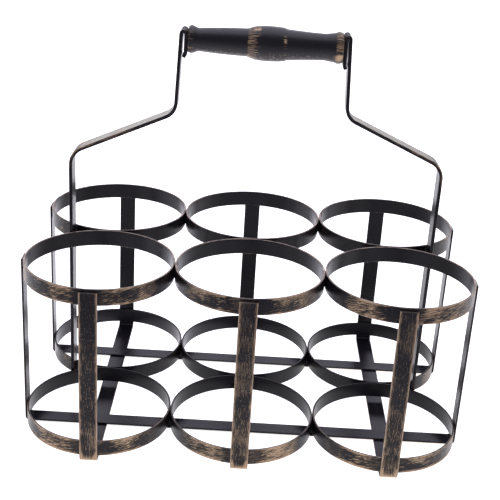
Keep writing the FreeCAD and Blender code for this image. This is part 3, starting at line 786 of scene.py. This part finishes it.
# Drawn steel: a grey metal with fine lines along it and a soft shine.
rod_steel, tree, shader = new_finish("drawn_steel")
place = add_node(tree, "ShaderNodeTexCoord").outputs["Object"]
drawn_place = add_node(tree, "ShaderNodeMapping", {
    "Vector": place, "Scale": (1 / DRAWN_LENGTH, 1 / DRAWN_LINE, 1 / DRAWN_LINE)}).outputs["Vector"]
lines = add_node(tree, "ShaderNodeTexNoise", {
    "Vector": drawn_place, "Scale": 1, "Detail": 2}).outputs["Fac"]
grey = add_node(tree, "ShaderNodeMix", {
    "Factor": lines, MIX_A: linear("#5f6063"), MIX_B: linear("#8a8b8e")},
    data_type="RGBA").outputs[MIX_RESULT]
shine = add_node(tree, "ShaderNodeMapRange", {"Value": lines, "To Min": 0.3, "To Max": 0.5}).outputs[0]
for socket, value in (("Base Color", grey), ("Roughness", shine)):
    tree.links.new(value, shader.inputs[socket])
shader.inputs["Metallic"].default_value = 1
wear([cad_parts["grip_rod"]], rod_steel)
print(f"{rod_steel.name}: lines {DRAWN_LINE / MM:.1f} mm apart")

# %% [markdown]
# ## Black enamel on the grip
# The grip is wood under a gloss black enamel. Hands and the bail wear it on the fattest turns: the barrel's
# shoulders and the end beads show tan wood in streaks, and a few knocks have gone through to bare wood. The
# wear could be painted by hand on a flat picture of the grip. Here the noise is stretched along the grip,
# as grain is, and a ramp along the grip, set from places in millimetres, says how much has broken through
# where. The lower side is painted paler in specks: some dust, and a painted reflection of the pale floor.

# %% Draw the grain, the chips and the specks of dust and painted reflection
GRAIN_LENGTH, GRAIN_WIDTH, CHIP_SIZE, SPECK_SIZE = 7 * MM, 0.6 * MM, 3 * MM, 1.1 * MM
BARREL_RADIUS = 10.7 * MM
GRAINS_AROUND = BARREL_RADIUS / GRAIN_WIDTH

# Brushed enamel on turned wood: a deep black with a cold gloss, tan wood where it is rubbed through.
grip_enamel, tree, shader = new_finish("black_enamel_on_turned_wood")
place = add_node(tree, "ShaderNodeTexCoord").outputs["Object"]
centred = add_node(tree, "ShaderNodeMapping", {
    "Vector": place, "Location": (-GRIP_SHIFT, 0, -GRIP_HEIGHT)}).outputs["Vector"]
across = add_node(tree, "ShaderNodeVectorMath", {
    0: centred, 1: (0, 1, 1)}, operation="MULTIPLY").outputs["Vector"]
outward = add_node(tree, "ShaderNodeVectorMath", {0: across}, operation="NORMALIZE").outputs["Vector"]
grain_along = add_node(tree, "ShaderNodeVectorMath", {
    0: centred, 1: (1 / GRAIN_LENGTH, 0, 0)}, operation="MULTIPLY").outputs["Vector"]
grain_place = add_node(tree, "ShaderNodeVectorMath", {
    0: outward, 1: (0, GRAINS_AROUND, GRAINS_AROUND), 2: grain_along},
    operation="MULTIPLY_ADD").outputs["Vector"]
streak = add_node(tree, "ShaderNodeTexNoise", {
    "Vector": grain_place, "Scale": 1, "Detail": 3, "Roughness": 0.6}).outputs["Fac"]
chips = add_node(tree, "ShaderNodeTexNoise", {
    "Vector": centred, "Scale": 1 / CHIP_SIZE, "Detail": 3}).outputs["Fac"]
speck_noise = add_node(tree, "ShaderNodeTexNoise", {
    "Vector": centred, "Scale": 1 / SPECK_SIZE, "Detail": 2}).outputs["Fac"]
print(f"grain {GRAIN_WIDTH / MM:.1f} mm wide, chips {CHIP_SIZE / MM:.0f} mm, dust {SPECK_SIZE / MM:.1f} mm")

# %% Measure out the wear along the grip
# Place along the grip from its middle, in mm, and how worn the enamel is there.
GRIP_WEAR = [(-HALF_GRIP, 0.55), (-44, 0.5), (-43, 0), (-12, 0), (-10.6, 0.75), (-6, 0.65), (-1, 0.25),
             (9.5, 0.2), (11.7, 0.5), (12.6, 0.45), (13.3, 0), (41.8, 0), (42.9, 0.7), (HALF_GRIP, 0.75)]

lengthwise, _, upward = add_node(tree, "ShaderNodeSeparateXYZ", {"Vector": centred}).outputs
share_along = add_node(tree, "ShaderNodeMapRange", {
    "Value": lengthwise, "From Min": -HALF_GRIP * MM, "From Max": HALF_GRIP * MM}).outputs[0]
handled = add_node(tree, "ShaderNodeValToRGB", {"Fac": share_along})
stops = handled.color_ramp.elements
for spot, _ in GRIP_WEAR[1:-1]:
    stops.new((spot + HALF_GRIP) / (2 * HALF_GRIP))
for stop, (_, share) in zip(stops, GRIP_WEAR):
    stop.color = (share, share, share, 1)
print(f"{len(stops)} stops along {2 * HALF_GRIP} mm of grip")

# %% Rub and knock the enamel through
# Knocks through the enamel: place from the middle of the grip and radius, in mm, and how hard they were.
KNOCKS = [((45.0, -8.2, -4.8), 4.8, 2), ((-6.6, -4.6, 9.1), 3.4, 1.4), ((-4.6, -4.6, 9.3), 3.6, 1.4),
          ((11.8, -9.3, 3.9), 2.2, 1.5)]
# How much the chips break up the streaks, and how much the wear of a place adds to them.
CHIP_BREAK, WEAR_PRESS = 0.25, 0.5
# Heights from the grip's axis between which the pale specks of dust and of painted floor reflection set in.
SPECKS_FROM, SPECKS_FULL = -2 * MM, -8 * MM

pressure = handled.outputs["Color"]
for spot, radius, force in KNOCKS:
    knock = add_node(tree, "ShaderNodeVectorMath", {
        0: centred, 1: Vector(spot) * MM}, operation="DISTANCE").outputs["Value"]
    knocked = add_node(tree, "ShaderNodeMapRange", {
        "Value": knock, "From Min": radius * MM, "From Max": 0, "To Max": force}).outputs[0]
    pressure = add_node(tree, "ShaderNodeMath", {0: pressure, 1: knocked}, operation="MAXIMUM").outputs[0]
broken = add_node(tree, "ShaderNodeMath", {
    0: chips, 1: CHIP_BREAK, 2: streak}, operation="MULTIPLY_ADD").outputs[0]
laid = add_node(tree, "ShaderNodeMath", {
    0: pressure, 1: WEAR_PRESS, 2: broken}, operation="MULTIPLY_ADD").outputs[0]
bare = add_node(tree, "ShaderNodeMapRange", {
    "Value": laid, "From Min": 0.88, "From Max": 1.34, "To Max": 0.95},
    interpolation_type="SMOOTHSTEP").outputs[0]
under = add_node(tree, "ShaderNodeMapRange", {
    "Value": upward, "From Min": SPECKS_FROM, "From Max": SPECKS_FULL},
    interpolation_type="SMOOTHSTEP").outputs[0]
speckled = add_node(tree, "ShaderNodeMapRange", {
    "Value": speck_noise, "From Min": 0.58, "From Max": 0.7, "To Min": 0.1, "To Max": 0.8}).outputs[0]
dust_and_reflection = add_node(tree, "ShaderNodeMath", {0: under, 1: speckled}, operation="MULTIPLY").outputs[0]
print(f"{len(KNOCKS)} knocks through the enamel")

# %% Enamel the grip
STREAK_HEIGHT = 0.12 * MM

black = add_node(tree, "ShaderNodeMix", {
    "Factor": chips, MIX_A: linear("#0d0c11"), MIX_B: linear("#1a181e")},
    data_type="RGBA").outputs[MIX_RESULT]
wood = add_node(tree, "ShaderNodeMix", {
    "Factor": streak, MIX_A: linear("#8f5f3a"), MIX_B: linear("#ffdcae")},
    data_type="RGBA").outputs[MIX_RESULT]
shown = add_node(tree, "ShaderNodeMix", {
    "Factor": bare, MIX_A: black, MIX_B: wood}, data_type="RGBA").outputs[MIX_RESULT]
# The lower side turns pale in specks: dust, and a painted reflection of the floor below.
with_dust_and_reflection = add_node(tree, "ShaderNodeMix", {
    "Factor": dust_and_reflection, MIX_A: shown, MIX_B: linear("#b3aaa1")}, data_type="RGBA").outputs[MIX_RESULT]
gloss = add_node(tree, "ShaderNodeMapRange", {"Value": bare, "To Min": 0.38, "To Max": 0.5}).outputs[0]
ridges = add_node(tree, "ShaderNodeBump", {
    "Height": streak, "Strength": 0.2, "Distance": STREAK_HEIGHT}).outputs["Normal"]
for socket, value in (("Base Color", with_dust_and_reflection), ("Roughness", gloss), ("Normal", ridges)):
    tree.links.new(value, shader.inputs[socket])
shader.inputs["Specular IOR Level"].default_value = 0.4
wear([grip], grip_enamel)
print(f"{grip_enamel.name}: {len(tree.nodes)} nodes")

# %% [markdown]
# ## Floor
# The photograph has a pure white sweep, lit from below or behind so that it shows no shadow. A plain pale
# floor that glows a little gives the same. It glows around and behind the caddy only: the floor in front is
# in the dark of the room, and that is what the black front faces reflect.

# %% Lay the floor
FLOOR_SIZE = 12
# How strongly the floor glows, and the places along Y, in metres, between which it turns dark.
GLOW, DARK_FROM, DARK_TO = 0.9, -0.15, -0.32

bpy.ops.object.select_all(action="DESELECT")
bpy.ops.mesh.primitive_plane_add(size=FLOOR_SIZE, location=(0, 0, 0))
floor = bpy.context.object
floor.name = "pale_floor"
# Matt white paper that glows as painted light: bright around and behind the caddy, dark in front.
glowing_paper, tree, shader = new_finish("glowing_matt_white_paper")
place = add_node(tree, "ShaderNodeTexCoord").outputs["Object"]
backward = add_node(tree, "ShaderNodeSeparateXYZ", {"Vector": place}).outputs["Y"]
glow = add_node(tree, "ShaderNodeMapRange", {
    "Value": backward, "From Min": DARK_TO, "From Max": DARK_FROM, "To Max": GLOW},
    interpolation_type="SMOOTHSTEP").outputs[0]
tree.links.new(glow, shader.inputs["Emission Strength"])
shader.inputs["Base Color"].default_value = linear("#f4f4f4")
shader.inputs["Roughness"].default_value = 0.9
shader.inputs["Specular IOR Level"].default_value = 0.1
shader.inputs["Emission Color"].default_value = linear("#ffffff")
wear([floor], glowing_paper)
print(f"floor {FLOOR_SIZE} m square, dark beyond {-DARK_TO} m in front")

# %% [markdown]
# ## Light
# A studio lights a black object mostly by what it reflects. A sheet of light high behind gives the floor
# bars their grey. Two low boxes beside it give the bright shoulders of the bail. A dim light table behind
# the caddy on the left shows in the inner faces of the rings and legs, and a wide box overhead draws the
# sheen along the grip. The fill in front only lights the gold and isn't reflected, so that the black faces
# stay black. One large lamp would be simpler, but it would grey every face alike. The lights are hidden
# from the camera, which sees only paper.

# %% Set the lights
TABLE_HEIGHT = 1 * MM
ROOM_STRENGTH = 0.24
COLD_WHITE, NEUTRAL_WHITE, ROOM_WHITE = "#f1edff", "#fbf6f4", "#f1f0ff"
# Place of each light in metres, the point that it faces, its width and height, its watts and its colour.
LIGHTS = {
    "back_sheet": ((0, 1.9, 1.15), (0, 0, 0), (1.8, 0.5), 8, COLD_WHITE),
    "left_rim_box": ((-0.62, 1.75, 0.37), (0, 0, 0.18), (0.4, 0.3), 1.6, NEUTRAL_WHITE),
    "right_rim_box": ((0.62, 1.75, 0.37), (0, 0, 0.18), (0.4, 0.3), 1.3, NEUTRAL_WHITE),
    "top_box": ((0, 0.6, 1.8), (0, 0.6, 0), (2.4, 2.2), 30, COLD_WHITE),
    "front_fill": ((-0.4, -1.1, 1.7), (0, 0, 0.12), (1.2, 1.2), 6.5, COLD_WHITE),
    "light_table": ((-0.14, 0.22, TABLE_HEIGHT), (-0.14, 0.22, 1), (0.26, 0.36), 0.2, COLD_WHITE),
}


def add_light(name):
    """A rectangular soft box that faces a point."""
    at, toward, (width, height), watts, colour = LIGHTS[name]
    data = bpy.data.lights.new(name, "AREA")
    data.shape = "RECTANGLE"
    data.size = width
    data.size_y = height
    data.energy = watts
    data.color = linear(colour)[:3]
    light = bpy.data.objects.new(name, data)
    bpy.context.collection.objects.link(light)
    aim = Vector(toward) - Vector(at)
    light.matrix_world = Matrix.Translation(at) @ aim.to_track_quat("-Z", "Y").to_matrix().to_4x4()
    light.visible_camera = False
    light.visible_glossy = name != "front_fill"


for name in LIGHTS:
    add_light(name)
room = bpy.data.worlds.new("dim_room")
room.use_nodes = True
room.node_tree.nodes["Background"].inputs["Color"].default_value = linear(ROOM_WHITE)
room.node_tree.nodes["Background"].inputs["Strength"].default_value = ROOM_STRENGTH
bpy.context.scene.world = room
bpy.context.scene.view_settings.view_transform = "Standard"
print(f"{len(LIGHTS)} lights")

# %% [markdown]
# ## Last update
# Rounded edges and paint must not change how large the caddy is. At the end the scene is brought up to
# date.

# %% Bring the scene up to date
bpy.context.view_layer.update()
